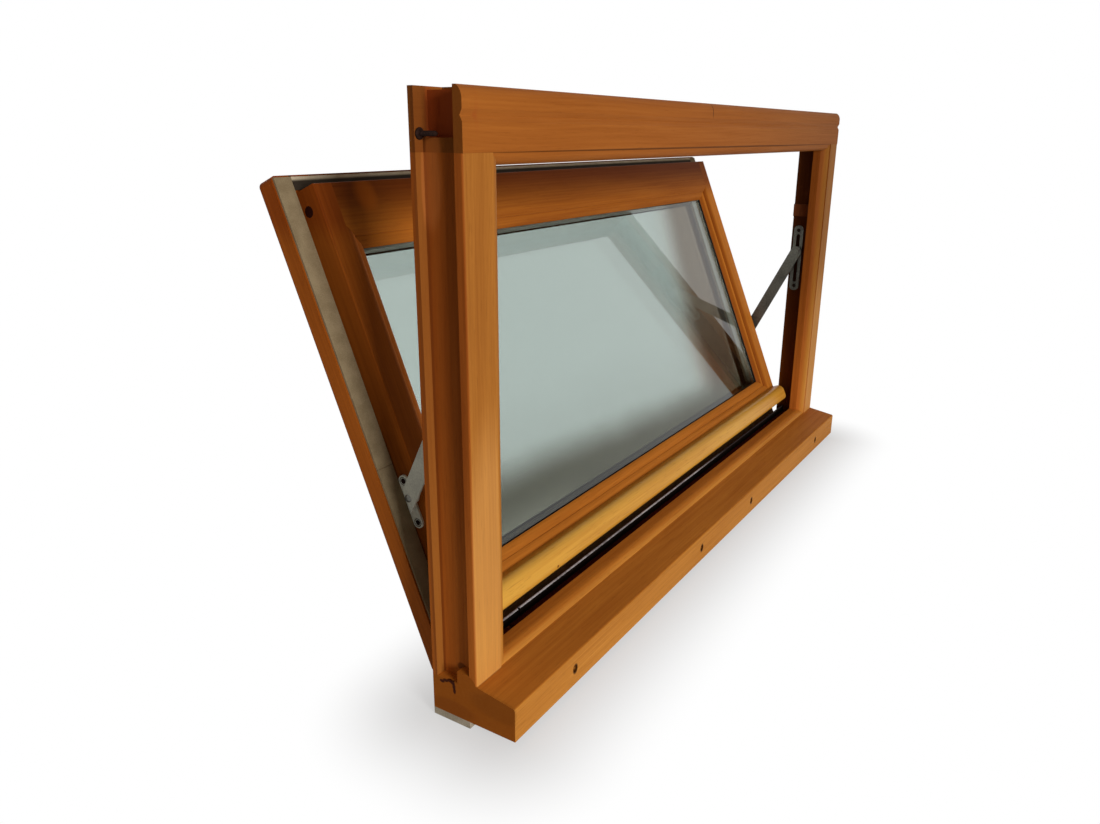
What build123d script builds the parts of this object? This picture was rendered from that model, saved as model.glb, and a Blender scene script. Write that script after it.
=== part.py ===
from build123d import *
import math
import os

# Timber hopper window: a fixed outer frame and a sash that is hinged at the bottom and tips into
# the room, held open by a slotted steel stay on each side. Millimetres, +X along the width,
# +Y into the room, +Z up. The origin is on the bedding face under the sill, at mid width and
# mid depth of the frame. Heights are from the sill's underside unless a name says otherwise.

# Outer frame
frame_width = 1100.0
frame_height = 606.0
frame_depth = 57.0
bedding_thickness = 8.0
bedding_setback = 10.0
stop_depth = 25.0
quirk = 1.5
ovolo_depth = 11.0
arris_radius = 2.5

# Jambs
jamb_rebate_width = 38.0
jamb_stop_projection = 20.0
jamb_moulding_width = 17.0
side_groove_depth = 10.5
side_groove_front_land = 9.4
side_groove_back_land = 6.0

# Head: heights of its front profile are measured down from the top
head_rebate_height = 53.0
head_stop_projection = 11.0
head_shoulder_depth = 3.5
head_shoulder_drop = 2.0
head_top_setback = 6.0
head_band_top = 11.0
head_cove_top = 18.5
head_cove_bottom = 28.5
head_cove_depth = 2.5
head_joint_rise = 12.0
head_joint_depth = 18.0
head_joint_drop = 3.0

# Sill
nose_projection = 46.0
nose_height = 37.5
sill_front_height = 45.0
sill_rebate_height = 40.0
sill_stop_projection = 14.0
drain_diameter = 8.0
drain_height = 19.0
drain_centre_offset = 97.0
drain_end_margin = 113.0

# Channel rail in the sill rebate, and the bright strip in two lengths inside it
rail_end_gap = 1.0
rail_width = 23.0
rail_wall = 2.0
rail_lip_height = 9.0
strip_width = 3.0
strip_height = 10.0
strip_left_length = 94.0
strip_break = 4.0

# Sash: the body lies in the frame's rebate, the flange laps the frame's room face
sash_angle = 22.5
hinge_axis_height = 14.0
hinge_axis_behind_frame = 5.0
sash_seal_thickness = 2.5
sash_body_depth = 28.0
flange_thickness = 22.0
sash_side_gap = 17.0
sash_head_gap = 4.0
sash_sill_gap = 13.0
flange_side_lap = 10.0
flange_top_lap = 15.0
flange_bottom_lap = 18.0
stile_face_width = 48.0
top_rail_face_height = 71.0
bottom_rail_face_height = 58.0
moulding_inner_band = 13.0
moulding_outer_band = 11.0
moulding_depth = 11.0
moulding_middle_depth = 4.0
moulding_step = 1.2
flange_corner_radius = 6.0
flange_round = 3.0
body_round = 1.5

# Glazing
glass_cover = 12.0
glass_rebate_cover = 15.0
gasket_thickness = 3.0
gasket_sight = 3.0
outer_gasket_setback = 0.5
gasket_width = 11.0
pane_thickness = 4.0
pane_gap = 16.0
spacer_width = 12.0
spacer_inset = 1.5
bead_clearance = 0.2
bead_bevel = 5.0

# Weather bar on the bottom rail
weather_bar_lap = 5.5
weather_bar_height = 29.5
weather_bar_thickness = 21.5
weather_bar_crown_radius = 12.5
weather_bar_nose_radius = 7.5
weather_bar_drip_radius = 1.5
weather_bar_drip_setback = 12.0
weather_bar_end_gap = 6.0

# Foam seals on the flange's front face
seal_thickness = 2.2
seal_edge_inset = 2.5
seal_body_gap = 2.5
seal_joint = 0.4
left_seal_joint_height = 250.0

# Stays
stay_pivot_height = 211.5
stay_pivot_depth = 13.0
stay_track_depth = 44.0
stay_arm_length = 174.0
stay_arm_width = 20.0
stay_arm_foot = 3.0
stay_thickness = 2.5
track_length = 122.0
track_width = 18.0
track_below_slider = 74.0
track_slot_width = 6.5
track_slot_end = 16.0
stay_screw_diameter = 5.0
stay_plate_height = 206.0
stay_plate_depth = 19.0
stay_plate_length = 60.0
stay_plate_width = 13.0
stay_plate_lobe_diameter = 15.0
stay_rivet_diameter = 6.0
stay_rivet_head_diameter = 11.0
slider_head_height = 1.2

# Bottom hinges
hinge_end_margin = 190.0
hinge_length = 76.0
hinge_leaf = 2.0
hinge_knuckle_diameter = 8.0
hinge_pin_diameter = 4.0
hinge_knuckles = 3
hinge_clearance = 0.3
hinge_leaf_setback = 3.0

# Corner plugs, rebate blocks
plug_diameter = 12.0
plug_below_top = 23.5
plug_depth_in_body = 20.0
plug_length = 6.0
rebate_block_height = 22.0
rebate_block_above_track = 17.0
rebate_block_thickness = 4.0
rebate_block_setback = 4.0

# Handle on the top rail's room face
handle_below_top = 19.0
handle_plate_width = 28.0
handle_plate_height = 64.0
handle_plate_thickness = 9.0
handle_plate_bevel = 2.0
handle_lever_length = 112.0
handle_lever_width = 19.0
handle_lever_tip_width = 14.0
handle_lever_thickness = 10.0
handle_lever_bevel = 2.5
handle_neck_diameter = 15.0
handle_neck_length = 24.0

half_width = frame_width / 2
front = -frame_depth / 2
room = frame_depth / 2
stop_back = front + stop_depth
rebate_half = half_width - jamb_rebate_width
stop_half = rebate_half - jamb_stop_projection
jamb_flat_half = stop_half + jamb_moulding_width
head_underside = frame_height - head_rebate_height
flange_front = room + sash_seal_thickness
body_front = flange_front - sash_body_depth
sash_room_face = flange_front + flange_thickness
body_half = rebate_half - sash_side_gap
body_top = head_underside - sash_head_gap
body_bottom = sill_rebate_height + sash_sill_gap
flange_half = rebate_half + flange_side_lap
flange_top = head_underside + flange_top_lap
flange_bottom = sill_rebate_height - flange_bottom_lap
sight_half = body_half - stile_face_width
sight_top = body_top - top_rail_face_height
sight_bottom = body_bottom + bottom_rail_face_height
moulding_width = moulding_inner_band + moulding_outer_band
glass_seat = body_front + moulding_depth
hinge_y = room + hinge_axis_behind_frame
hinge_line = Axis((0, hinge_y, hinge_axis_height), (-1, 0, 0))


def opened(y, z):
    """Where a point of the closed sash lies once the sash is tilted."""
    turn = math.radians(sash_angle)
    dy = y - hinge_y
    dz = z - hinge_axis_height
    return (hinge_y + dy * math.cos(turn) + dz * math.sin(turn),
            hinge_axis_height - dy * math.sin(turn) + dz * math.cos(turn))


track_y = front + stay_track_depth
pivot_closed_y = body_front + stay_pivot_depth
pivot_y, pivot_z = opened(pivot_closed_y, stay_pivot_height)
slider_z = pivot_z + math.sqrt(stay_arm_length ** 2 - (pivot_y - track_y) ** 2)
track_bottom = slider_z - track_below_slider


def section(plane, start, *moves):
    """A closed face. Each move is the next point, or that point with an arc's starting tangent."""
    with BuildSketch(plane) as sketch:
        with BuildLine():
            here = start
            for move in moves:
                if isinstance(move[0], tuple):
                    there, tangent = move
                    TangentArc(here, there, tangent=tangent)
                else:
                    there = move
                    Line(here, there)
                here = there
            if here != start:
                Line(here, start)
        make_face()
    return sketch.sketch.face()


def bar(face, length):
    """A straight length through a section's plane, half of it on each side."""
    return extrude(face, length / 2, both=True)


def block(x0, x1, y0, y1, z0, z1):
    return Pos((x0 + x1) / 2, (y0 + y1) / 2, (z0 + z1) / 2) * Box(x1 - x0, y1 - y0, z1 - z0)


def rod_along_x(x0, x1, y, z, diameter):
    return Pos((x0 + x1) / 2, y, z) * Rot(Y=90) * Cylinder(diameter / 2, x1 - x0)


def mirrored(shape):
    return mirror(shape, about=Plane.YZ)


def edges_at(shape, axis, x=None, y=None, z=None):
    """Straight edges along an axis whose centres have the given coordinates."""
    def near(value, wanted):
        return wanted is None or abs(value - wanted) < 0.01

    def fits(edge):
        c = edge.center()
        return near(abs(c.X), x) and near(c.Y, y) and near(c.Z, z)

    return shape.edges().filter_by(axis).filter_by(fits)


def make_sill():
    nose = front - nose_projection
    upstand = sill_rebate_height + sill_stop_projection
    slope = (sill_front_height - nose_height) / nose_projection
    foot = (front + quirk, sill_front_height + slope * quirk)
    crown = (front + quirk + ovolo_depth, upstand)
    sill = bar(section(Plane.YZ, (room, 0), (room, sill_rebate_height),
                       (stop_back, sill_rebate_height), (stop_back, upstand), crown,
                       (foot, (-1, 0)), (nose, nose_height), (nose, 0)), frame_width)
    return fillet(edges_at(sill, Axis.X, y=nose, z=nose_height), arris_radius)


def make_drain_bores():
    """Round bores that fall from the channel to the nose's front face."""
    start_y = front - nose_projection
    end_y = stop_back + rail_width / 2
    end_z = sill_rebate_height + rail_wall
    run = math.hypot(end_y - start_y, end_z - drain_height)
    fall = math.degrees(math.atan2(end_z - drain_height, end_y - start_y))
    bore = Rot(X=fall - 90) * Pos(0, 0, run / 2) * Cylinder(drain_diameter / 2,
                                                             run + 2 * drain_diameter)
    offsets = (drain_centre_offset, half_width - drain_end_margin)
    return [Pos(side * offset, start_y, drain_height) * bore for offset in offsets
            for side in (-1, 1)]


def make_right_jamb(sill):
    groove_x = half_width - side_groove_depth
    groove_front = front + side_groove_front_land
    groove_back = room - side_groove_back_land
    length = head_underside - sill_rebate_height
    jamb = Pos(0, 0, sill_rebate_height + length / 2) * bar(
        section(Plane.XY, (jamb_flat_half, front + quirk),
                ((stop_half, front + quirk + ovolo_depth), (-1, 0)), (stop_half, stop_back),
                (rebate_half, stop_back), (rebate_half, room), (half_width, room),
                (half_width, groove_back), (groove_x, groove_back), (groove_x, groove_front),
                (half_width, groove_front), (half_width, front), (jamb_flat_half, front)), length)
    jamb = fillet(edges_at(jamb, Axis.Z, x=half_width, y=front), arris_radius)
    return jamb - sill


def make_head(jambs):
    top = frame_height
    stop = head_underside - head_stop_projection
    cove_middle = (head_cove_top + head_cove_bottom) / 2
    crown = (front + quirk + ovolo_depth, stop)
    head = bar(section(Plane.YZ, (front, head_underside), (front, top - head_cove_bottom),
                       (front + head_cove_depth, top - cove_middle), (front, top - head_cove_top),
                       (front, top - head_band_top),
                       ((front + head_shoulder_depth, top - head_shoulder_drop), (0, 1)),
                       (front + head_top_setback, top), (room, top), (room, head_underside),
                       (stop_back, head_underside), (stop_back, stop), crown,
                       ((front + quirk, head_underside), (-1, 0))), frame_width)
    groove_front = front + side_groove_front_land
    groove_back = room - side_groove_back_land
    joint = head_underside + head_joint_rise
    for jamb in jambs:
        head -= jamb
    for place in (lambda s: s, mirrored):
        head -= place(block(jamb_flat_half, half_width + 1, front - 1, stop_back + 1,
                            stop - 1, head_underside))
        head -= place(block(half_width - side_groove_depth, half_width + 1, groove_front,
                            groove_back, head_underside - 1, joint + 1))
        head -= place(block(half_width - head_joint_depth, half_width + 1, groove_front,
                            groove_back, joint, top + 1))
        head -= place(block(rebate_half, half_width + 1, groove_front, groove_back,
                            top - head_joint_drop, top + 1))
    return head


def make_rail():
    y0 = stop_back
    y1 = y0 + rail_width
    z0 = sill_rebate_height
    z1 = z0 + rail_lip_height
    return bar(section(Plane.YZ, (y0, z0), (y1, z0), (y1, z1), (y1 - rail_wall, z1),
                       (y1 - rail_wall, z0 + rail_wall), (y0 + rail_wall, z0 + rail_wall),
                       (y0 + rail_wall, z1), (y0, z1)), 2 * (rebate_half - rail_end_gap))


def make_rail_strip():
    y1 = stop_back + rail_width - rail_wall
    z0 = sill_rebate_height + rail_wall
    half = rebate_half - rail_end_gap
    cut = -half + strip_left_length
    left = block(-half, cut, y1 - strip_width, y1, z0, z0 + strip_height)
    right = block(cut + strip_break, half, y1 - strip_width, y1, z0, z0 + strip_height)
    return Compound([left, right])


def member_section(plane, sight, outward, face_width, flange_reach):
    """Section of a sash member, outwards from the glass edge: moulding, face, flange, rebate."""
    inward = (0, 1) if plane == Plane.XY else (1, 0)

    def at(across, depth):
        return (sight[0] + across * outward[0] + depth * inward[0],
                sight[1] + across * outward[1] + depth * inward[1])

    towards_glass = (-outward[0], -outward[1])
    room_depth = sash_room_face - body_front
    flange_depth = flange_front - body_front
    reach = face_width + flange_reach
    return section(plane, at(face_width, 0), at(moulding_width, 0),
                   (at(moulding_inner_band, moulding_middle_depth), towards_glass),
                   at(moulding_inner_band, moulding_middle_depth + moulding_step),
                   (at(0, moulding_depth), towards_glass), at(glass_rebate_cover, moulding_depth),
                   at(glass_rebate_cover, room_depth), at(reach, room_depth),
                   at(reach, flange_depth), at(face_width, flange_depth))


def make_sash_envelope():
    """The sash frame's outer form: the rounded flange plate and the body in front of it."""
    middle = (flange_top + flange_bottom) / 2
    plate = Pos(0, (flange_front + sash_room_face) / 2, middle) * Box(
        2 * flange_half, flange_thickness, flange_top - flange_bottom)
    plate = fillet(plate.edges().filter_by(Axis.Y), flange_corner_radius)
    rim = plate.faces().sort_by(Axis.Y)[-1].edges()
    plate = fillet(rim, flange_round)
    body = block(-body_half, body_half, body_front, flange_front, body_bottom, body_top)
    rim = body.faces().sort_by(Axis.Y)[0].edges()
    return plate + fillet(rim, body_round)


def rail_region(z_sight, z_end):
    """The part of the sash frame that belongs to a rail, with its moulding mitred."""
    z_turn = z_sight + math.copysign(moulding_width, z_end - z_sight)
    half = sight_half + moulding_width
    corners = [(-sight_half, z_sight), (sight_half, z_sight), (half, z_turn), (half, z_end),
               (-half, z_end), (-half, z_turn)]
    face = make_face(Plane.XZ * Polyline(*corners, close=True))
    return bar(face, 4 * frame_depth)


def make_sash_frame():
    """Right stile, top rail and bottom rail; the left stile is a mirror image."""
    envelope = make_sash_envelope()
    middle = (flange_top + flange_bottom) / 2
    top_region = rail_region(sight_top, flange_top + 1)
    bottom_region = rail_region(sight_bottom, flange_bottom - 1)
    stile = bar(member_section(Plane.XY, (sight_half, body_front), (1, 0), stile_face_width,
                               flange_half - body_half), flange_top - flange_bottom)
    top = bar(member_section(Plane.YZ, (body_front, sight_top), (0, 1), top_rail_face_height,
                             flange_top - body_top), 2 * flange_half)
    bottom = bar(member_section(Plane.YZ, (body_front, sight_bottom), (0, -1),
                                bottom_rail_face_height, body_bottom - flange_bottom),
                 2 * flange_half)
    stile = (Pos(0, 0, middle) * stile & envelope) - top_region - bottom_region
    return stile, top & top_region & envelope, bottom & bottom_region & envelope


def make_plug():
    x1 = body_half
    return rod_along_x(x1 - plug_length, x1, body_front + plug_depth_in_body,
                       body_top - plug_below_top, plug_diameter)


def ring(half, z0, z1, width, y0, y1):
    outer = block(-half, half, y0, y1, z0, z1)
    return outer - block(-half + width, half - width, y0 - 1, y1 + 1, z0 + width, z1 - width)


def make_glazing():
    """Sealed double unit between two gaskets, held by timber beads from the room side."""
    glass_half = sight_half + glass_cover
    z0 = sight_bottom - glass_cover
    z1 = sight_top + glass_cover
    outer = outer_gasket_setback + gasket_width
    inner = gasket_width - gasket_sight
    s_half = glass_half - spacer_inset
    pieces = {}
    y = glass_seat
    pieces["outer_gasket"] = ring(sight_half + outer, sight_bottom - outer, sight_top + outer,
                                  gasket_width, y, y + gasket_thickness)
    y += gasket_thickness
    pieces["outer_pane"] = block(-glass_half, glass_half, y, y + pane_thickness, z0, z1)
    y += pane_thickness
    pieces["pane_spacer"] = ring(s_half, z0 + spacer_inset, z1 - spacer_inset, spacer_width,
                                 y, y + pane_gap)
    y += pane_gap
    pieces["inner_pane"] = block(-glass_half, glass_half, y, y + pane_thickness, z0, z1)
    y += pane_thickness
    pieces["inner_gasket"] = ring(sight_half + inner, sight_bottom - inner, sight_top + inner,
                                  gasket_width, y, y + gasket_thickness)
    pieces.update(make_beads(y + gasket_thickness))
    return pieces


def make_beads(y0):
    """Mitred timber beads on the room side, bevelled towards the glass."""
    width = glass_rebate_cover - bead_clearance
    half = sight_half + width
    z0 = sight_bottom - width
    z1 = sight_top + width
    beads = ring(half, z0, z1, width, y0, sash_room_face)
    inner = edges_at(beads, Axis.X, y=sash_room_face, z=z0 + width)
    inner += edges_at(beads, Axis.X, y=sash_room_face, z=z1 - width)
    inner += edges_at(beads, Axis.Z, x=half - width, y=sash_room_face)
    beads = chamfer(inner, bead_bevel)
    middle = (z0 + z1) / 2
    reach = half - (z1 - z0) / 2
    outlines = {
        "bead_top": [(-half, z1), (half, z1), (reach, middle), (-reach, middle)],
        "bead_bottom": [(-half, z0), (half, z0), (reach, middle), (-reach, middle)],
        "bead_left": [(-half, z1), (-half, z0), (-reach, middle)],
        "bead_right": [(half, z1), (half, z0), (reach, middle)],
    }
    pieces = {}
    for name, corners in outlines.items():
        face = make_face(Plane.XZ * Polyline(*corners, close=True))
        pieces[name] = beads & bar(face, 4 * frame_depth)
    return pieces


def make_weather_bar():
    """Round-nosed bar on the bottom rail, with a drip groove in its underside."""
    z0 = body_bottom + weather_bar_lap
    z1 = z0 + weather_bar_height
    y0 = body_front - weather_bar_thickness
    low = (y0 + weather_bar_nose_radius, z0)
    nose = (y0, z0 + weather_bar_nose_radius)
    shoulder = (y0, z1 - weather_bar_crown_radius)
    crown = (y0 + weather_bar_crown_radius, z1)
    shape = bar(section(Plane.YZ, nose, shoulder, (crown, (0, 1)), (body_front, z1),
                        (body_front, z0), low, (nose, (-1, 0))),
                2 * (body_half - weather_bar_end_gap))
    return shape - rod_along_x(-half_width, half_width, y0 + weather_bar_drip_setback, z0,
                               2 * weather_bar_drip_radius)


def make_seals():
    """Strips on the flange's front face, between the body and the flange's edge."""
    y0 = flange_front - seal_thickness
    x1 = flange_half - seal_edge_inset
    x0 = body_half + seal_body_gap
    z_top = flange_top - seal_edge_inset
    z_low = flange_bottom + seal_edge_inset
    top_low = body_top + seal_body_gap
    bottom_top = body_bottom - seal_body_gap
    inner = x0 - seal_joint
    joint = left_seal_joint_height
    return {
        "right_seal": block(x0, x1, y0, flange_front, z_low, z_top),
        "left_lower_seal": block(-x1, -x0, y0, flange_front, z_low, joint),
        "left_upper_seal": block(-x1, -x0, y0, flange_front, joint + seal_joint, z_top),
        "top_seal": block(-inner, inner, y0, flange_front, top_low, z_top),
        "bottom_seal": block(-inner, inner, y0, flange_front, z_low, bottom_top),
    }


def link(reach, width, holes=(), slot=None):
    """A flat steel link in the YZ plane, round end centres at z = 0 and z = reach, from x = 0."""
    with BuildSketch(Plane.YZ) as sketch:
        with Locations((0, reach / 2)):
            SlotCenterToCenter(reach, width, rotation=90)
        for z in holes:
            with Locations((0, z)):
                Circle(stay_screw_diameter / 2, mode=Mode.SUBTRACT)
        if slot:
            with Locations((0, (slot[0] + slot[1]) / 2)):
                SlotOverall(slot[1] - slot[0], track_slot_width, rotation=90, mode=Mode.SUBTRACT)
    return Pos(stay_thickness / 2, 0, 0) * bar(sketch.sketch.face(), stay_thickness)


def make_right_stay():
    """Slotted track on the jamb and arm, in place for the tilt; plate on the closed stile."""
    x_track = rebate_half - stay_thickness
    x_plate = body_half + stay_thickness
    x_arm = (x_track + x_plate - stay_thickness) / 2
    x_arm_back = x_arm + stay_thickness

    reach = track_length - track_width
    slot_end = track_slot_end - track_width / 2
    track = link(reach, track_width, holes=(0, reach), slot=(slot_end, reach - slot_end))
    track = Pos(x_track, track_y, track_bottom + track_width / 2) * track

    reach = stay_plate_length - stay_plate_width
    plate = Pos(body_half, body_front + stay_plate_depth, stay_plate_height - reach / 2) * link(
        reach, stay_plate_width, holes=(0, reach))
    plate += rod_along_x(body_half, x_plate, pivot_closed_y, stay_pivot_height,
                         stay_plate_lobe_diameter)

    lean = math.degrees(math.atan2(pivot_y - track_y, slider_z - pivot_z))
    blank = link(stay_arm_length + stay_arm_width, stay_arm_width)
    arm = Pos(x_arm, pivot_y, pivot_z) * Rot(X=lean) * Pos(0, 0, -stay_arm_width) * blank
    beyond = block(0, half_width, pivot_closed_y + stay_arm_foot,
                   pivot_closed_y + 2 * stay_arm_length,
                   stay_pivot_height - stay_arm_length, stay_pivot_height + stay_arm_length)
    arm -= beyond.rotate(hinge_line, sash_angle)
    arm += rod_along_x(x_plate, x_arm, pivot_y, pivot_z, stay_rivet_head_diameter)
    arm += rod_along_x(x_arm - slider_head_height, x_arm, track_y, slider_z,
                       stay_rivet_head_diameter)

    slider = rod_along_x(x_arm_back, x_track, track_y, slider_z, stay_rivet_head_diameter)
    slider += rod_along_x(x_track, rebate_half, track_y, slider_z, stay_rivet_diameter)
    return track, plate, arm, slider


def make_hinge(offset):
    """Cranked hinge: one leaf with the pin on the sill's room face, one under the flange."""
    axis_y, axis_z = hinge_y, hinge_axis_height
    run = hinge_length / hinge_knuckles
    x0 = offset - hinge_length / 2
    x1 = x0 + hinge_length
    frame_leaf = block(x0, x1, room, room + hinge_leaf, 1, axis_z)
    under = flange_bottom - hinge_leaf
    sash_leaf = block(x0, x1, axis_y, sash_room_face - hinge_leaf_setback, under, flange_bottom)
    sash_leaf += block(x0, x1, axis_y, axis_y + hinge_leaf, axis_z, under)
    sash_leaf -= rod_along_x(x0 - 1, x1 + 1, axis_y, axis_z,
                             hinge_knuckle_diameter - 2 * hinge_leaf)
    for k in range(hinge_knuckles):
        a = x0 + k * run
        b = a + run
        if k % 2:
            frame_leaf -= rod_along_x(a - hinge_clearance, b + hinge_clearance, axis_y, axis_z,
                                      hinge_knuckle_diameter + 2 * hinge_clearance)
            sash_leaf += rod_along_x(a, b, axis_y, axis_z, hinge_knuckle_diameter)
        else:
            sash_leaf -= rod_along_x(a - 1, b + hinge_clearance, axis_y, axis_z,
                                     hinge_knuckle_diameter + 2 * hinge_clearance)
            frame_leaf += rod_along_x(a, b, axis_y, axis_z, hinge_knuckle_diameter)
    frame_leaf += rod_along_x(x0, x1, axis_y, axis_z, hinge_pin_diameter)
    sash_leaf -= rod_along_x(x0 - 1, x1 + 1, axis_y, axis_z,
                             hinge_pin_diameter + 2 * hinge_clearance)
    return frame_leaf, sash_leaf


def make_handle():
    """Oval plate, and a lever on a round neck, on the room face of the top rail."""
    z = body_top - handle_below_top
    y = sash_room_face
    face = Plane(origin=(0, y, z), x_dir=(1, 0, 0), z_dir=(0, 1, 0))
    with BuildPart(face) as plate:
        with BuildSketch(face):
            RectangleRounded(handle_plate_width, handle_plate_height, handle_plate_width / 2.5)
        extrude(amount=handle_plate_thickness)
        chamfer(plate.faces().sort_by(Axis.Y)[-1].edges(), handle_plate_bevel)
    neck_top = handle_plate_thickness + handle_neck_length
    neck = Pos(0, y + (handle_plate_thickness + neck_top) / 2, z) * Rot(X=90) * Cylinder(
        handle_neck_diameter / 2, handle_neck_length)
    back = neck_top - handle_lever_thickness / 2
    lever_plane = face.offset(back)
    with BuildPart(lever_plane) as lever:
        with BuildSketch(lever_plane):
            with BuildLine():
                w = handle_lever_width / 2
                t = handle_lever_tip_width / 2
                tip = -(handle_lever_length - w - t)
                Line((0, w), (tip, t))
                ThreePointArc((tip, t), (tip - t, 0), (tip, -t))
                Line((tip, -t), (0, -w))
                ThreePointArc((0, -w), (w, 0), (0, w))
            make_face()
        extrude(amount=handle_lever_thickness)
        chamfer(lever.faces().sort_by(Axis.Y)[-1].edges(), handle_lever_bevel)
    return plate.part, neck + lever.part


def main():
    os.makedirs("parts", exist_ok=True)
    sides = (("right", lambda shape: shape), ("left", mirrored))
    sill = make_sill()
    rail = make_rail()
    right_jamb = make_right_jamb(sill)
    head = make_head((right_jamb, mirrored(right_jamb)))
    for bore in make_drain_bores():
        sill -= bore
        rail -= bore
    fixed = {
        "sill": sill,
        "head": head,
        "threshold_rail": rail,
        "threshold_strip": make_rail_strip(),
        "bedding_strip": block(-half_width, half_width, front + bedding_setback, room,
                               -bedding_thickness, 0),
    }
    block_z = track_bottom + track_length + rebate_block_above_track
    rebate_block = block(rebate_half - rebate_block_thickness, rebate_half,
                         stop_back + rebate_block_setback, room,
                         block_z, block_z + rebate_block_height)

    stile, top_rail, bottom_rail = make_sash_frame()
    plug = make_plug()
    stile -= plug
    sash = {"sash_top_rail": top_rail, "sash_bottom_rail": bottom_rail,
            "weather_bar": make_weather_bar()}
    sash.update(make_glazing())
    sash.update(make_seals())
    sash["handle_plate"], sash["handle_lever"] = make_handle()

    track, plate, arm, slider = make_right_stay()
    frame_leaf, sash_leaf = make_hinge(half_width - hinge_end_margin)
    for side, place in sides:
        fixed[side + "_jamb"] = place(right_jamb)
        fixed[side + "_rebate_block"] = place(rebate_block)
        fixed[side + "_stay_track"] = place(track)
        fixed[side + "_stay_arm"] = place(arm)
        fixed[side + "_stay_slider"] = place(slider)
        fixed[side + "_hinge_frame_leaf"] = place(frame_leaf)
        sash["sash_" + side + "_stile"] = place(stile)
        sash[side + "_corner_plug"] = place(plug)
        sash[side + "_stay_plate"] = place(plate)
        sash[side + "_hinge_sash_leaf"] = place(sash_leaf)

    lift = Pos(0, 0, bedding_thickness)
    for name, shape in fixed.items():
        export_step(lift * shape, f"parts/{name}.step")
    for name, shape in sash.items():
        export_step(lift * shape.rotate(hinge_line, sash_angle), f"parts/{name}.step")


main()
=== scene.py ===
import math

import bpy
from mathutils import Matrix, Vector


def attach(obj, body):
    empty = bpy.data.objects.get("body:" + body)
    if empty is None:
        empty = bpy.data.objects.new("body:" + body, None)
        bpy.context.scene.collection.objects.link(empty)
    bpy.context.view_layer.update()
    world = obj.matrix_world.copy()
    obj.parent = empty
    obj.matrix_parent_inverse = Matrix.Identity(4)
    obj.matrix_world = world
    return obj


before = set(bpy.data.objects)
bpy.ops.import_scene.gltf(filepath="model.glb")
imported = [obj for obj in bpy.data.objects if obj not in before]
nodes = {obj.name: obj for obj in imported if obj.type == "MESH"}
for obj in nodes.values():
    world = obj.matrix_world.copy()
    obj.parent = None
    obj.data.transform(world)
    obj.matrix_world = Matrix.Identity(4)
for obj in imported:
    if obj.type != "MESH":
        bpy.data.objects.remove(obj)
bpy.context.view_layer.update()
bpy.ops.object.select_all(action="DESELECT")

# Camera: it stands outside, to the left of the window and a little below its top, and looks down
# on it by 18 degrees. The three directions and the lens were fitted to the frame's corners.
camera_right = Vector((0.54399491, -0.839079, 0.00399622))
camera_up = Vector((0.2572639, 0.17131973, 0.95103356))
camera_back = Vector((-0.79867692, -0.51632933, 0.30906179))
camera_data = bpy.data.cameras.new("photo_camera")
camera_data.lens = 27.958
camera_data.sensor_width = 36.0
camera_data.clip_start = 0.02
camera = bpy.data.objects.new("photo_camera", camera_data)
camera.matrix_world = Matrix((camera_right, camera_up, camera_back)).transposed().to_4x4()
camera.location = (-1.1175, -0.4804, 0.5759)
bpy.context.scene.collection.objects.link(camera)
bpy.context.scene.camera = camera
bpy.context.scene.view_settings.view_transform = "Standard"

# Studio: a pale floor that fades into a white background, and soft lamps. The light comes from
# the front, low and a little from the left, so the sash lies in the frame's shadow.


def add_node(tree, kind, **values):
    """A node with the given properties; names that start with in_ set an input's value."""
    made = tree.nodes.new(kind)
    for name, value in values.items():
        if name.startswith("in_"):
            key = name[3:]
            made.inputs[int(key) if key.isdigit() else key.replace("_", " ")].default_value = value
        else:
            setattr(made, name, value)
    return made


def calc(tree, operation, first, second=0.0, clamp=False):
    """A Math node; first and second are sockets or numbers."""
    made = tree.nodes.new("ShaderNodeMath")
    made.operation = operation
    made.use_clamp = clamp
    for socket, value in zip(made.inputs, (first, second)):
        if isinstance(value, bpy.types.NodeSocket):
            tree.links.new(value, socket)
        else:
            socket.default_value = value
    return made.outputs[0]


def blend_colours(tree, share, first, second, mode="MIX"):
    """A colour Mix node; each argument is a socket or a value."""
    made = tree.nodes.new("ShaderNodeMix")
    made.data_type = "RGBA"
    made.blend_type = mode
    for index, value in ((0, share), (6, first), (7, second)):
        if isinstance(value, bpy.types.NodeSocket):
            tree.links.new(value, made.inputs[index])
        elif index == 0:
            made.inputs[0].default_value = value
        else:
            made.inputs[index].default_value = (*value[:3], 1.0)
    return made.outputs[2]


def smooth_step(tree, value, low, high):
    """0 below low, 1 above high, smooth between."""
    made = tree.nodes.new("ShaderNodeMapRange")
    made.interpolation_type = "SMOOTHSTEP"
    tree.links.new(value, made.inputs[0])
    for index, number in ((1, low), (2, high), (3, 0.0), (4, 1.0)):
        made.inputs[index].default_value = number
    return made.outputs[0]


def colour(red, green, blue):
    """A screen colour, 0 to 255, as the linear colour a shader takes."""
    parts = [c / 255 for c in (red, green, blue)]
    return tuple(c / 12.92 if c <= 0.04045 else ((c + 0.055) / 1.055) ** 2.4 for c in parts)


def seen_directly(tree):
    """1 for what the camera sees, also through the glass and mirrored in glass and metal."""
    rays = tree.nodes.new("ShaderNodeLightPath")
    straight = calc(tree, "ADD", rays.outputs["Is Camera Ray"], rays.outputs["Is Glossy Ray"])
    return calc(tree, "ADD", straight, rays.outputs["Is Transmission Ray"], True)


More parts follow.
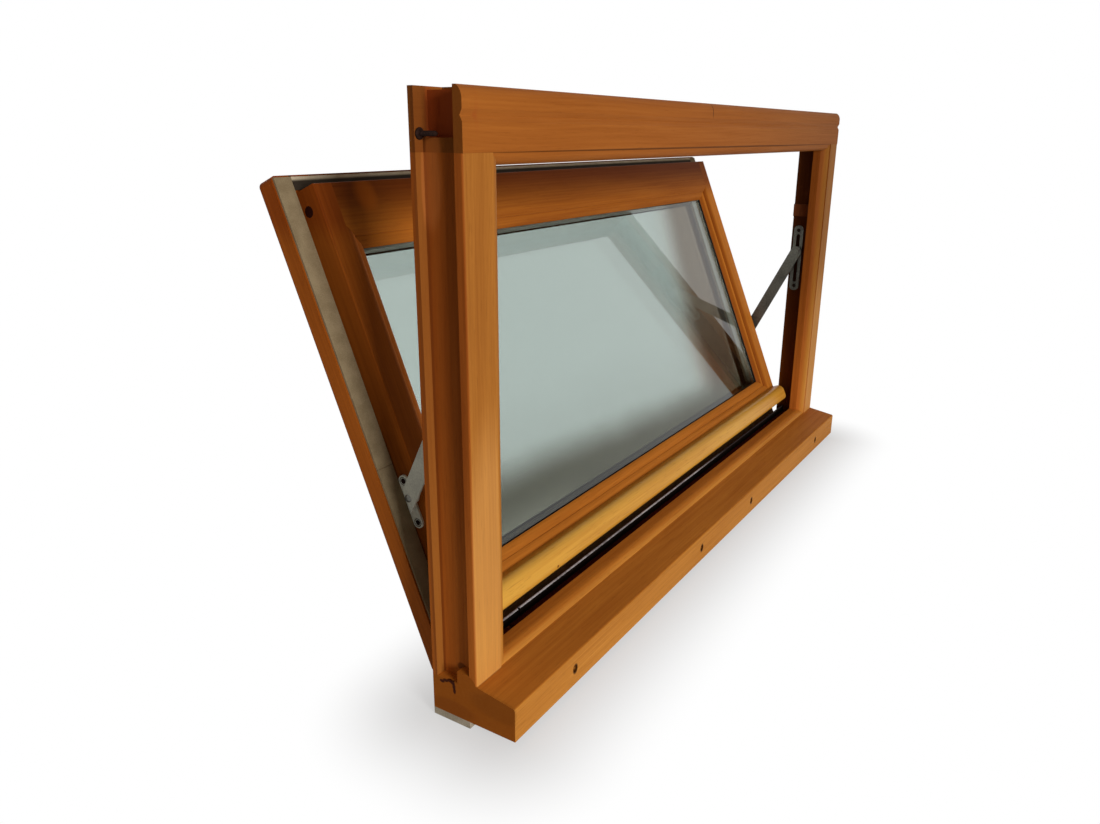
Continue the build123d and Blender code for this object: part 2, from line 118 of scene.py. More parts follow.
world = bpy.data.worlds.new("studio")
bpy.context.scene.world = world
world.use_nodes = True
tree = world.node_tree
tree.nodes.clear()
seen = seen_directly(tree)
ambient = add_node(tree, "ShaderNodeBackground", in_Color=(1.0, 0.91, 0.80, 1.0), in_Strength=0.19)
white = add_node(tree, "ShaderNodeBackground", in_Color=(1.0, 1.0, 1.0, 1.0), in_Strength=1.0)
mixer = tree.nodes.new("ShaderNodeMixShader")
tree.links.new(seen, mixer.inputs[0])
tree.links.new(ambient.outputs[0], mixer.inputs[1])
tree.links.new(white.outputs[0], mixer.inputs[2])
tree.links.new(mixer.outputs[0], tree.nodes.new("ShaderNodeOutputWorld").inputs[0])

floor_size = 60.0
floor_height = -0.0006
bpy.ops.mesh.primitive_plane_add(size=floor_size, location=(0, 0, floor_height))
floor = bpy.context.active_object
floor.name = "studio_floor"
floor.data.transform(floor.matrix_world)
floor.matrix_world = Matrix.Identity(4)
floor_material = bpy.data.materials.new("pale_floor")
floor_material.use_nodes = True
tree = floor_material.node_tree
tree.nodes.clear()
position = tree.nodes.new("ShaderNodeTexCoord").outputs["Object"]
parts = tree.nodes.new("ShaderNodeSeparateXYZ")
tree.links.new(position, parts.inputs[0])
standing_strip = ((0, 0.53, 0.0), (1, 0.03, -0.01))
shade_reach = 0.16
shade_depth = 0.50
beyond = []
for axis, half, middle in standing_strip:
    off = calc(tree, "ABSOLUTE", calc(tree, "SUBTRACT", parts.outputs[axis], middle))
    off = calc(tree, "MAXIMUM", calc(tree, "SUBTRACT", off, half), 0.0)
    beyond.append(calc(tree, "MULTIPLY", off, off))
distance = calc(tree, "SQRT", calc(tree, "ADD", beyond[0], beyond[1]))
near = calc(tree, "SUBTRACT", 1.0, smooth_step(tree, distance, 0.0, shade_reach))
near = calc(tree, "MULTIPLY", near, shade_depth)
seen = seen_directly(tree)
pale = add_node(tree, "ShaderNodeBsdfDiffuse", in_Color=(0.62, 0.62, 0.62, 1.0))
glow = add_node(tree, "ShaderNodeEmission", in_Color=(1.0, 1.0, 1.0, 1.0), in_Strength=1.0)
shown = tree.nodes.new("ShaderNodeMixShader")
tree.links.new(near, shown.inputs[0])
tree.links.new(glow.outputs[0], shown.inputs[1])
tree.links.new(pale.outputs[0], shown.inputs[2])
mixer = tree.nodes.new("ShaderNodeMixShader")
tree.links.new(seen, mixer.inputs[0])
tree.links.new(pale.outputs[0], mixer.inputs[1])
tree.links.new(shown.outputs[0], mixer.inputs[2])
tree.links.new(mixer.outputs[0], tree.nodes.new("ShaderNodeOutputMaterial").inputs[0])
floor.data.materials.append(floor_material)

window_middle = Vector((0, 0.08, 0.3))
for lamp_name, place, size, power in (("front_lamp", (-2.05, -4.0, 1.25), 1.3, 152.0),
                                      ("foot_lamp", (-1.05, -1.35, 0.25), 0.5, 2.5),
                                      ("room_lamp", (0.9, 2.8, 1.9), 1.8, 16.0)):
    lamp = bpy.data.lights.new(lamp_name, "AREA")
    lamp.size = size
    lamp.energy = power
    lamp_object = bpy.data.objects.new(lamp_name, lamp)
    lamp_object.location = place
    aim = window_middle - Vector(place)
    lamp_object.rotation_euler = aim.to_track_quat("-Z", "Y").to_euler()
    lamp_object.visible_camera = False
    lamp_object.visible_transmission = False
    bpy.context.scene.collection.objects.link(lamp_object)

# Outer frame: four planed softwood members and a small block in each rebate, in a translucent
# orange-brown stain. The grain runs along each member, and the stain is darker on end grain and
# in the fine pores.


def timber_grain():
    """Growth rings, long streaks and short pores along X, for a solid block of timber. Gloss is
    the roughness of the palest grain."""
    streak_share, blotch_share, middle_tone = 1.5, 1.3, 0.40
    ring_waver, late_start, late_end = 0.05, 0.25, 0.86
    group = bpy.data.node_groups.new("timber_grain", "ShaderNodeTree")
    for name, kind in (("Position", "NodeSocketVector"), ("Light", "NodeSocketColor"),
                       ("Dark", "NodeSocketColor"), ("Pore", "NodeSocketColor"),
                       ("Ring Spacing", "NodeSocketFloat"), ("Ring Strength", "NodeSocketFloat"),
                       ("Pore Strength", "NodeSocketFloat"), ("Gloss", "NodeSocketFloat")):
        group.interface.new_socket(name, in_out="INPUT", socket_type=kind)
    for name, kind in (("Color", "NodeSocketColor"), ("Roughness", "NodeSocketFloat"),
                       ("Height", "NodeSocketFloat")):
        group.interface.new_socket(name, in_out="OUTPUT", socket_type=kind)
    given = group.nodes.new("NodeGroupInput").outputs
    result = group.nodes.new("NodeGroupOutput").inputs

    def stretched_noise(along, across, detail, roughness):
        scaled = add_node(group, "ShaderNodeVectorMath", operation="MULTIPLY")
        scaled.inputs[1].default_value = (along, across, across)
        group.links.new(given["Position"], scaled.inputs[0])
        noise = add_node(group, "ShaderNodeTexNoise", in_Scale=1.0, in_Detail=detail,
                         in_Roughness=roughness)
        group.links.new(scaled.outputs[0], noise.inputs["Vector"])
        return noise.outputs[0]

    waver = stretched_noise(1.6, 7.0, 2.0, 0.5)
    streak = stretched_noise(5.0, 260.0, 4.0, 0.62)
    blotch = stretched_noise(3.0, 22.0, 3.0, 0.55)
    pores = stretched_noise(45.0, 900.0, 2.0, 0.5)
    parts = add_node(group, "ShaderNodeSeparateXYZ")
    group.links.new(given["Position"], parts.inputs[0])
    shift = calc(group, "MULTIPLY", calc(group, "SUBTRACT", waver, 0.5), ring_waver)
    across = calc(group, "ADD", parts.outputs[1], shift)
    deep = calc(group, "ADD", parts.outputs[2], calc(group, "MULTIPLY", shift, 0.6))
    radius = calc(group, "SQRT", calc(group, "ADD", calc(group, "MULTIPLY", across, across),
                                      calc(group, "MULTIPLY", deep, deep)))
    turn = calc(group, "FRACT", calc(group, "MULTIPLY", radius, given["Ring Spacing"]))
    late = calc(group, "MULTIPLY", smooth_step(group, turn, late_start, late_end),
                calc(group, "SUBTRACT", 1.0, smooth_step(group, turn, 0.9, 1.0)))
    late = calc(group, "MULTIPLY", late, given["Ring Strength"])
    streaked = calc(group, "MULTIPLY", calc(group, "SUBTRACT", streak, 0.5), streak_share)
    blotched = calc(group, "MULTIPLY", calc(group, "SUBTRACT", blotch, 0.5), blotch_share)
    tone = calc(group, "ADD", streaked, blotched)
    tone = calc(group, "ADD", calc(group, "ADD", tone, middle_tone), late, True)
    base = blend_colours(group, tone, given["Light"], given["Dark"])
    dots = calc(group, "MULTIPLY", smooth_step(group, pores, 0.60, 0.72), given["Pore Strength"])
    final = blend_colours(group, dots, base, given["Pore"])
    group.links.new(final, result["Color"])
    rough = calc(group, "ADD", calc(group, "MULTIPLY", tone, 0.08), given["Gloss"])
    rough = calc(group, "ADD", rough, calc(group, "MULTIPLY", dots, 0.15))
    group.links.new(rough, result["Roughness"])
    height = calc(group, "SUBTRACT", calc(group, "MULTIPLY", streak, 0.5),
                  calc(group, "MULTIPLY", dots, 0.7))
    group.links.new(calc(group, "SUBTRACT", height, calc(group, "MULTIPLY", late, 0.2)),
                    result["Height"])
    return group


grain_group = timber_grain()
ALONG_X = (0.0, 0.0, 0.0)
ALONG_Z = (0.0, math.pi / 2, 0.0)


def mark_mask(tree, position, centre, radii):
    """1 within an ellipsoid, soft at the edge."""
    moved = add_node(tree, "ShaderNodeVectorMath", operation="SUBTRACT")
    moved.inputs[1].default_value = centre
    tree.links.new(position, moved.inputs[0])
    scaled = add_node(tree, "ShaderNodeVectorMath", operation="DIVIDE")
    scaled.inputs[1].default_value = radii
    tree.links.new(moved.outputs[0], scaled.inputs[0])
    reach = add_node(tree, "ShaderNodeVectorMath", operation="LENGTH")
    tree.links.new(scaled.outputs[0], reach.inputs[0])
    return calc(tree, "SUBTRACT", 1.0, smooth_step(tree, reach.outputs["Value"], 0.70, 1.15))


def stained(name, turn, pith, light, dark, pore, ring_strength=0.12, pore_strength=0.22,
            gloss=0.50, coat=0.0, end_shade=0.8, end_tint=(0.55, 0.55, 0.55), shade_climb=None,
            facing_shade=(), marks=(), mark_turn=(0.0, 0.0, 0.0)):
    """Stained timber whose grain runs along the axis that turn brings to X, around the pith.
    Painted shade darkens it along an axis towards the high end, given as (axis, low, high, share
    at the high end), and on faces that look one way, given as (direction, low, high, share). Marks
    are stains, pin heads, joint lines, painted shade and painted light, as (centre, radii, colour,
    strength), in a frame turned by mark_turn."""
    rings_per_metre = 300.0
    relief_strength, relief_depth = 0.15, 0.0004
    material = bpy.data.materials.new(name)
    material.use_nodes = True
    tree = material.node_tree
    shader = tree.nodes["Principled BSDF"]
    coordinates = tree.nodes.new("ShaderNodeTexCoord")
    placed = add_node(tree, "ShaderNodeMapping", in_Location=pith, in_Rotation=turn)
    tree.links.new(coordinates.outputs["Object"], placed.inputs["Vector"])
    grain = add_node(tree, "ShaderNodeGroup", node_tree=grain_group, in_Light=(*light, 1.0),
                     in_Dark=(*dark, 1.0), in_Pore=(*pore, 1.0), in_Ring_Spacing=rings_per_metre,
                     in_Ring_Strength=ring_strength, in_Pore_Strength=pore_strength,
                     in_Gloss=gloss)
    tree.links.new(placed.outputs[0], grain.inputs["Position"])
    looking = add_node(tree, "ShaderNodeMapping", vector_type="VECTOR", in_Rotation=turn)
    tree.links.new(coordinates.outputs["Normal"], looking.inputs["Vector"])
    faces = add_node(tree, "ShaderNodeSeparateXYZ")
    tree.links.new(looking.outputs[0], faces.inputs[0])
    end = smooth_step(tree, calc(tree, "ABSOLUTE", faces.outputs[0]), 0.8, 0.98)
    end = calc(tree, "MULTIPLY", end, end_shade)
    end_grain = tuple(c * share for c, share in zip(dark, end_tint))
    shade = blend_colours(tree, end, grain.outputs["Color"], end_grain)
    for direction, low, high, share in facing_shade:
        facing = add_node(tree, "ShaderNodeVectorMath", operation="DOT_PRODUCT")
        facing.inputs[1].default_value = direction
        tree.links.new(coordinates.outputs["Normal"], facing.inputs[0])
        faces_there = smooth_step(tree, facing.outputs["Value"], low, high)
        shade = blend_colours(tree, faces_there, shade, share, "MULTIPLY")
    if shade_climb:
        parts = add_node(tree, "ShaderNodeSeparateXYZ")
        tree.links.new(coordinates.outputs["Object"], parts.inputs[0])
        rise = smooth_step(tree, parts.outputs[shade_climb[0]], shade_climb[1], shade_climb[2])
        shade = blend_colours(tree, rise, shade, shade_climb[3], "MULTIPLY")
    spread = add_node(tree, "ShaderNodeMapping", in_Rotation=mark_turn)
    tree.links.new(coordinates.outputs["Object"], spread.inputs["Vector"])
    for centre, radii, tint, strength in marks:
        place = mark_mask(tree, spread.outputs[0], centre, radii)
        shade = blend_colours(tree, calc(tree, "MULTIPLY", place, strength), shade, tint)
    tree.links.new(shade, shader.inputs["Base Color"])
    tree.links.new(grain.outputs["Roughness"], shader.inputs["Roughness"])
    relief = add_node(tree, "ShaderNodeBump", in_Strength=relief_strength,
                      in_Distance=relief_depth)
    tree.links.new(grain.outputs["Height"], relief.inputs["Height"])
    tree.links.new(relief.outputs[0], shader.inputs["Normal"])
    shader.inputs["Coat Weight"].default_value = coat
    shader.inputs["Coat Roughness"].default_value = 0.25
    shader.inputs["Specular IOR Level"].default_value = 0.035
    return material


def finish_node(name, material):
    """Gives a piece of the frame its material."""
    mesh = nodes[name].data
    mesh.materials.clear()
    mesh.materials.append(material)


frame_light = colour(198, 132, 54)
frame_dark = colour(166, 102, 38)
frame_pore = colour(92, 44, 12)
black_brown = colour(34, 14, 5)
drain_places = (-0.437, -0.097, 0.097, 0.437)
# Dark marks at the four drain mouths on the nose.
drains = [((x, -0.0745, 0.027), (0.0052, 0.004, 0.0066), black_brown, 0.9) for x in drain_places]
# Painted shadow: a hook of dark marks where the jamb's groove meets the sill's end. Then a darker
# patch high at the front of the end, and a paler one low at its back.
sill_end_shade_and_tone = [((-0.55, y, z), (0.003, width, height), colour(46, 12, 8), 0.92)
              for y, z, width, height in ((0.0165, 0.0437, 0.0034, 0.0020),
                                          (0.0120, 0.0460, 0.0036, 0.0020),
                                          (0.0070, 0.0476, 0.0036, 0.0020),
                                          (0.0028, 0.0466, 0.0032, 0.0026),
                                          (0.0012, 0.0425, 0.0021, 0.0042),
                                          (0.0006, 0.0375, 0.0019, 0.0036))]
sill_end_shade_and_tone += [((-0.55, -0.054, 0.038), (0.004, 0.036, 0.015), colour(78, 42, 12), 0.2),
               ((-0.55, 0.004, 0.016), (0.004, 0.030, 0.010), colour(124, 62, 16), 0.5)]
# Painted shade at the drain inlets in the rebate, over the bores.
inlet_shade = [((x, 0.0, 0.047), (0.009, 0.016, 0.009), black_brown, 0.95) for x in drain_places]
# Painted shade darkens and reddens the sill's upward faces.
finish_node("sill", stained("sill_timber", ALONG_X, (0.31, 0.055, 0.115), frame_light, frame_dark,
                            frame_pore, end_shade=0.82, marks=drains + inlet_shade + sill_end_shade_and_tone,
                            end_tint=(0.66, 0.42, 0.12),
                            facing_shade=[((0, 0, 1), 0.5, 0.85, (0.92, 0.76, 0.60))]))
# Head marks, in order: a small dark spot on the front, a small dark mark in the left end's recess,
# painted shade in that recess and on its back wall, painted light on the groove floor at the
# joint, and a dark joint line along the foot of the front.
head_marks = [((-0.038, -0.0285, 0.6055), (0.0009, 0.01, 0.010), black_brown, 0.85),
              ((-0.532, 0.010, 0.597), (0.004, 0.0016, 0.008), black_brown, 0.8),
              ((-0.531, 0.002, 0.592), (0.0082, 0.03, 0.04), colour(148, 62, 26), 0.75),
              ((-0.545, 0.0225, 0.59), (0.013, 0.004, 0.06), colour(92, 46, 18), 0.62),
              ((-0.5405, 0.0120, 0.561), (0.006, 0.0095, 0.020), colour(180, 100, 46), 0.36),
              ((0.0, -0.0285, 0.561), (0.56, 0.02, 0.0011), black_brown, 0.6)]
# The head takes darker colours than the jambs, and painted shade darkens it towards the right.
finish_node("head", stained("head_timber", ALONG_X, (0.9, -0.03, -0.71), colour(159, 92, 34),
                            colour(138, 75, 25), frame_pore, pore_strength=0.15, marks=head_marks,
                            shade_climb=(0, -0.2, 0.55, (0.76, 0.78, 0.74))))
# Painted shade darkens each jamb towards its top, the right one more.
for side, sign, top_shade_share in (("left", -1, (0.70, 0.64, 0.66)), ("right", 1, (0.52, 0.50, 0.52))):
    # In order: a dark joint line at the foot of the front, painted shade on the rebate's face,
    # painted shadow on the groove floor above the sill, painted shade behind the stay track's
    # slot, painted light at the foot of the front, painted shade on the groove's back wall, and
    # painted light on the groove floor below the head.
    jamb_shade_light_and_joints = [((0.52 * sign, -0.0285, 0.0528), (0.05, 0.02, 0.0012), black_brown, 0.6),
              ((0.512 * sign, 0.0125, 0.3), (0.002, 0.024, 0.7), colour(40, 12, 4), 0.75),
              ((0.5395 * sign, -0.0015, 0.0615), (0.004, 0.006, 0.0045), black_brown, 0.6),
              ((0.512 * sign, 0.0155, 0.354), (0.003, 0.008, 0.062), black_brown, 0.9),
              ((0.52 * sign, -0.030, 0.14), (0.05, 0.004, 0.20), colour(232, 172, 100), 0.26),
              ((0.545 * sign, 0.0225, 0.3), (0.013, 0.004, 0.7), colour(118, 62, 24), 0.6),
              ((0.5405 * sign, 0.0160, 0.535), (0.004, 0.013, 0.042), colour(196, 118, 60), 0.28)]
    finish_node(side + "_jamb", stained(side + "_jamb_timber", ALONG_Z,
                                        (0.4, 0.07, 0.52 * sign + 0.09), frame_light, frame_dark,
                                        frame_pore, marks=jamb_shade_light_and_joints,
                                        shade_climb=(2, 0.05, 0.45, top_shade_share),
                                        # Painted shade darkens and reddens the side faces.
                                        facing_shade=[((x, 0, 0), 0.35, 0.9, (0.82, 0.56, 0.46))
                                               for x in (-1, 1)]))
    finish_node(side + "_rebate_block", stained(side + "_block_timber", ALONG_Z,
                                                (0.7, 0.11, 0.5 * sign + 0.06),
                                                colour(112, 60, 32), colour(88, 44, 20),
                                                frame_pore, gloss=0.55))

# Bedding: a pale foam strip along the back of the sill's underside. It is pressed flat when the
# window is set, and closes the joint between the sill and the wall.


def mottled(name, light, dark, scale, roughness, bump, metallic=0.0, specular=0.09, marks=(),
            mark_turn=(0.0, 0.0, 0.0)):
    """Rubber, foam, paint or plated steel with a fine mottled grain, and marks as on timber."""
    material = bpy.data.materials.new(name)
    material.use_nodes = True
    tree = material.node_tree
    shader = tree.nodes["Principled BSDF"]
    position = tree.nodes.new("ShaderNodeTexCoord").outputs["Object"]
    fine = add_node(tree, "ShaderNodeTexNoise", in_Scale=scale, in_Detail=3.0)
    broad = add_node(tree, "ShaderNodeTexNoise", in_Scale=scale / 18, in_Detail=2.0)
    tree.links.new(position, fine.inputs["Vector"])
    tree.links.new(position, broad.inputs["Vector"])
    tone = calc(tree, "ADD", calc(tree, "MULTIPLY", fine.outputs[0], 0.5),
                calc(tree, "MULTIPLY", broad.outputs[0], 0.5))
    shade = blend_colours(tree, smooth_step(tree, tone, 0.35, 0.65), light, dark)
    spread = add_node(tree, "ShaderNodeMapping", in_Rotation=mark_turn)
    tree.links.new(position, spread.inputs["Vector"])
    for centre, radii, tint, strength in marks:
        place = mark_mask(tree, spread.outputs[0], centre, radii)
        shade = blend_colours(tree, calc(tree, "MULTIPLY", place, strength), shade, tint)
    tree.links.new(shade, shader.inputs["Base Color"])
    tree.links.new(calc(tree, "ADD", calc(tree, "MULTIPLY", tone, 0.12), roughness - 0.06),
                   shader.inputs["Roughness"])
    relief = add_node(tree, "ShaderNodeBump", in_Strength=bump, in_Distance=0.0003)
    tree.links.new(fine.outputs[0], relief.inputs["Height"])
    tree.links.new(relief.outputs[0], shader.inputs["Normal"])
    shader.inputs["Metallic"].default_value = metallic
    shader.inputs["Specular IOR Level"].default_value = specular
    return material


def in_metres(profile):
    """Points given in millimetres."""
    return [(across / 1000, along / 1000) for across, along in profile]


def edit_all(made):
    """Goes to edit mode on this one object, all of it selected."""
    bpy.ops.object.select_all(action="DESELECT")
    made.select_set(True)
    bpy.context.view_layer.objects.active = made
    bpy.ops.object.mode_set(mode="EDIT")
    bpy.ops.mesh.select_all(action="SELECT")


def outline_object(name, points, closed):
    """A wire through points in space."""
    count = len(points)
    edges = [(i, (i + 1) % count) for i in range(count if closed else count - 1)]
    mesh = bpy.data.meshes.new(name)
    mesh.from_pydata(points, edges, [])
    made = bpy.data.objects.new(name, mesh)
    bpy.context.scene.collection.objects.link(made)
    return made


def turned(name, profile, closed=False):
    """A part turned around Z from a profile of radius and height in millimetres."""
    steps = 32
    made = outline_object(name, [(r, 0.0, h) for r, h in in_metres(profile)], closed)
    edit_all(made)
    bpy.ops.mesh.spin(steps=steps, angle=math.tau, center=(0, 0, 0), axis=(0, 0, 1))
    bpy.ops.mesh.select_all(action="SELECT")
    bpy.ops.mesh.remove_doubles(threshold=0.000001)
    bpy.ops.mesh.normals_make_consistent(inside=False)
    bpy.ops.object.mode_set(mode="OBJECT")
    bpy.ops.object.shade_smooth_by_angle(angle=math.radians(35))
    return made


def drawn_along_x(name, section, x0, x1):
    """A closed section in Y and Z, in metres, drawn out from x0 to x1."""
    made = outline_object(name, [(x0, y, z) for y, z in section], True)
    edit_all(made)
    bpy.ops.mesh.edge_face_add()
    bpy.ops.mesh.extrude_region_move(TRANSFORM_OT_translate={"value": (x1 - x0, 0, 0)})
    bpy.ops.mesh.select_all(action="SELECT")
    bpy.ops.mesh.normals_make_consistent(inside=False)
    bpy.ops.object.mode_set(mode="OBJECT")
    bpy.ops.object.shade_smooth_by_angle(angle=math.radians(35))
    return made


def pointing(direction, place):
    """The matrix that takes Z to a direction and the origin to a place."""
    turn = Vector(direction).to_track_quat("Z", "Y").to_matrix().to_4x4()
    return Matrix.Translation(place) @ turn


def copies(name, source, matrices):
    """One mesh of several copies of a source, which is then removed."""
    made = []
    for matrix in matrices:
        copy = source.copy()
        copy.data = source.data.copy()
        copy.data.transform(matrix)
        bpy.context.scene.collection.objects.link(copy)
        made.append(copy)
    bpy.data.objects.remove(source)
    bpy.ops.object.select_all(action="DESELECT")
    for copy in made:
        copy.select_set(True)
    bpy.context.view_layer.objects.active = made[0]
    bpy.ops.object.join()
    made[0].name = name
    return made[0]


def set_piece(piece, material):
    """A finished new piece: its material and the body that it rides on."""
    piece.data.materials.clear()
    piece.data.materials.append(material)
    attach(piece, "root")


finish_node("bedding_strip", mottled("bedding_foam", colour(186, 174, 154),
                                     colour(148, 136, 116), 900.0, 0.85, 0.5))

# Threshold: a black plastic channel pressed into the sill's rebate, which carries the water to
# the drain holes, and a thin aluminium strip that stands in it in two lengths.

finish_node("threshold_rail", mottled("black_channel", colour(84, 24, 18), colour(44, 13, 10),
                                      700.0, 0.7, 0.1, specular=0.02))
# Painted shade: the aluminium strip is coloured near black below its crown.
finish_node("threshold_strip", mottled("strip_flank_shade", colour(26, 18, 14), colour(12, 8, 6),
                                       800.0, 0.7, 0.1, specular=0.02))

# Strip crown: the rounded upper edge of the strip, pale grey in the same two lengths. It is a half
# round on the strip, and painted shade darkens it towards the right.

# Painted shade over the crown's right part.
crown_shade = [((0.42, 0.016, 0.06), (0.30, 0.10, 0.10), colour(30, 20, 18), 0.97)]
crown_material = mottled("bright_crown", colour(178, 172, 172), colour(120, 112, 112), 300.0, 0.5,
                         0.1, specular=0.05, marks=crown_shade)
crown_radius, crown_y, crown_z = 0.0015, 0.0160, 0.0600
crown_arc = [(crown_y - crown_radius * math.cos(a), crown_z + crown_radius * math.sin(a))
             for a in [math.pi * step / 10 for step in range(11)]]
for side, x0, x1 in (("left", -0.511, -0.417), ("right", -0.413, 0.511)):
    crown = drawn_along_x(side + "_strip_crown", crown_arc, x0, x1)
    set_piece(crown, crown_material)

# Groove screw: a dark pan-headed steel screw, left across the groove at the head's left end. Its
# head, thread and point are turned in one.

dark_steel = mottled("dark_screw_steel", colour(44, 26, 20), colour(22, 13, 10), 500.0, 0.6, 0.2,
                     0.1, 0.06)
thread_radius, core_radius = 2.35, 1.95
screw_head = [(0, 0), (4.2, 0), (5.0, 0.7), (5.0, 1.9), (4.3, 2.6), (thread_radius, 2.8)]
thread = []
for height in range(4, 19):
    thread += [(thread_radius, height), (core_radius, height + 0.5)]
groove_screw = turned("groove_screw", screw_head + thread + [(1.6, 19.6), (0, 20.4)])
groove_screw.data.transform(pointing((0, -1, 0), (-0.5447, 0.0225, 0.5762)))
set_piece(groove_screw, dark_steel)

# Sash: stiles and rails of the same timber, moulded towards the glass and tilted into the room.
# It lies in the frame's shade, and its stain is redder and darker than the frame's. Painted light
# and painted shade set its members apart, and a plug fills a bore in each stile near its top
# corner.

sash_tilt = math.radians(22.5)
STILE = (sash_tilt, math.pi / 2, 0.0)
RAIL = (sash_tilt, 0.0, 0.0)
# The sash's base colours. The lit copies are painted light, paler on the left stile and bottom
# rail and palest on the right stile.
sash_light = colour(172, 100, 32)
sash_dark = colour(140, 74, 22)
lit_light = colour(188, 112, 38)
lit_dark = colour(154, 86, 26)
sash_pore = colour(76, 32, 8)
shadow_brown = colour(22, 8, 3)
# Painted shade in the gap beside each stile's outer side.
side_gap_shade = [((0.4965 * sign, 0.010, 0.33), (0.0016, 0.030, 1.2), shadow_brown, 0.75)
             for sign in (-1, 1)]
# The left stile also takes painted light on its moulding.
left_marks = side_gap_shade + [((-0.4525, 0.010, 0.33), (0.0165, 0.030, 1.2), colour(224, 128, 54),
                           0.78)]
# Painted shadow along the top rail's upper edge, and painted light at the rail's left end.
top_marks = [((0.0, 0.012, 0.5696), (1.6, 0.022, 0.0017), shadow_brown, 0.92),
             ((-0.428, 0.012, 0.553), (0.022, 0.030, 0.026), colour(174, 89, 22), 0.55)]
right_lit_light = colour(200, 122, 42)
right_lit_dark = colour(166, 94, 30)
sash_front = (0.0, -math.cos(sash_tilt), math.sin(sash_tilt))
# Painted shade darkens each stile's top corner, the top rail's upper part, the left stile's flats
# and the faces that look left.
for name, turn, pith, light, dark, sash_shade_and_light, shade_climb, facing_shade in (
        ("sash_left_stile", STILE, (0.2, 0.04, -0.4), lit_light, lit_dark, left_marks,
         (2, 0.463, 0.495, (0.76, 0.62, 0.55)),
         [(sash_front, 0.5, 0.9, (0.62, 0.50, 0.44)), ((-1, 0, 0), 0.3, 0.8, (0.82, 0.66, 0.6))]),
        ("sash_right_stile", STILE, (0.6, 0.05, 0.57), right_lit_light, right_lit_dark, side_gap_shade,
         (2, 0.463, 0.495, (0.50, 0.38, 0.30)), [((-1, 0, 0), 0.05, 0.5, (0.56, 0.44, 0.36))]),
        ("sash_top_rail", RAIL, (0.1, 0.07, -0.62), sash_light, sash_dark, top_marks,
         (2, 0.470, 0.525, (0.42, 0.30, 0.22)), ()),
        ("sash_bottom_rail", RAIL, (0.5, 0.09, -0.02), lit_light, lit_dark, (), None, ())):
    finish_node(name, stained(name + "_timber", turn, pith, light, dark, sash_pore, marks=sash_shade_and_light,
                              mark_turn=RAIL, shade_climb=shade_climb, facing_shade=facing_shade))
plug_material = stained("plug_timber", ALONG_X, (0.2, 0.01, -0.46), colour(52, 18, 12),
                        colour(26, 8, 5), colour(14, 5, 3), end_shade=0.2)
for side in ("left", "right"):
    finish_node(side + "_corner_plug", plug_material)

# Glazing: a sealed double unit, two clear panes on a pale spacer bar. It is bedded between black
# rubber gaskets and held from the room side by bevelled timber beads.


def pane_glass(name, tint, shadow, edge, foot):
    """Clear float glass in its tint, with painted reflections: the shadow colour in a dark band
    along its foot, the foot colour at the lower left, and the edge colour in a leaning band at the
    right, darker low down. Painted shade makes it nearly black along its lowest strip."""
    near_black = (0.03, 0.032, 0.028)
    band_depth, low_share = 0.84, 0.86
    material = bpy.data.materials.new(name)
    material.use_nodes = True
    tree = material.node_tree
    shader = tree.nodes["Principled BSDF"]
    position = tree.nodes.new("ShaderNodeTexCoord").outputs["Object"]
    placed = add_node(tree, "ShaderNodeMapping", in_Rotation=RAIL)
    tree.links.new(position, placed.inputs["Vector"])
    parts = tree.nodes.new("ShaderNodeSeparateXYZ")
    tree.links.new(placed.outputs[0], parts.inputs[0])
    soft = add_node(tree, "ShaderNodeTexNoise", in_Scale=5.0, in_Detail=2.0)
    tree.links.new(placed.outputs[0], soft.inputs["Vector"])
    drift = calc(tree, "MULTIPLY", calc(tree, "SUBTRACT", soft.outputs[0], 0.5), 0.03)
    slope = calc(tree, "MULTIPLY", parts.outputs[0], 0.065)
    height = calc(tree, "ADD", calc(tree, "ADD", parts.outputs[2], drift), slope)
    low = calc(tree, "SUBTRACT", 1.0, smooth_step(tree, height, 0.150, 0.212))
    reflection_tail = calc(tree, "SUBTRACT", 1.0, smooth_step(tree, height, 0.16, 0.31))
    low = calc(tree, "ADD", calc(tree, "MULTIPLY", low, low_share),
               calc(tree, "MULTIPLY", reflection_tail, 1.0 - low_share))
    lean = calc(tree, "MAXIMUM", calc(tree, "SUBTRACT", parts.outputs[2], 0.29), 0.0)
    across = calc(tree, "SUBTRACT", parts.outputs[0], calc(tree, "MULTIPLY", lean, 0.24))
    across = calc(tree, "ADD", across, drift)
    band = calc(tree, "SUBTRACT", smooth_step(tree, across, 0.222, 0.294),
                smooth_step(tree, parts.outputs[0], 0.414, 0.422))
    deep = calc(tree, "SUBTRACT", 1.0, smooth_step(tree, parts.outputs[2], 0.20, 0.36))
    edge = blend_colours(tree, deep, edge, (0.80, 0.64, 0.52), "MULTIPLY")
    shade = blend_colours(tree, calc(tree, "MULTIPLY", band, band_depth), tint, edge)
    lowest = calc(tree, "SUBTRACT", 1.0, smooth_step(tree, height, 0.090, 0.150))
    leftmost = calc(tree, "SUBTRACT", 1.0, smooth_step(tree, parts.outputs[0], -0.34, -0.12))
    lowest = calc(tree, "MULTIPLY", lowest, leftmost)
    shade = blend_colours(tree, low, shade, blend_colours(tree, lowest, shadow, foot))
    # Painted shade: nearly black along the lowest strip of the glass.
    rim = calc(tree, "SUBTRACT", 1.0, smooth_step(tree, parts.outputs[2], 0.1300, 0.1340))
    shade = blend_colours(tree, rim, shade, near_black)
    tree.links.new(shade, shader.inputs["Base Color"])
    shader.inputs["Roughness"].default_value = 0.02
    shader.inputs["Transmission Weight"].default_value = 1.0
    shader.inputs["IOR"].default_value = 1.5
    return material


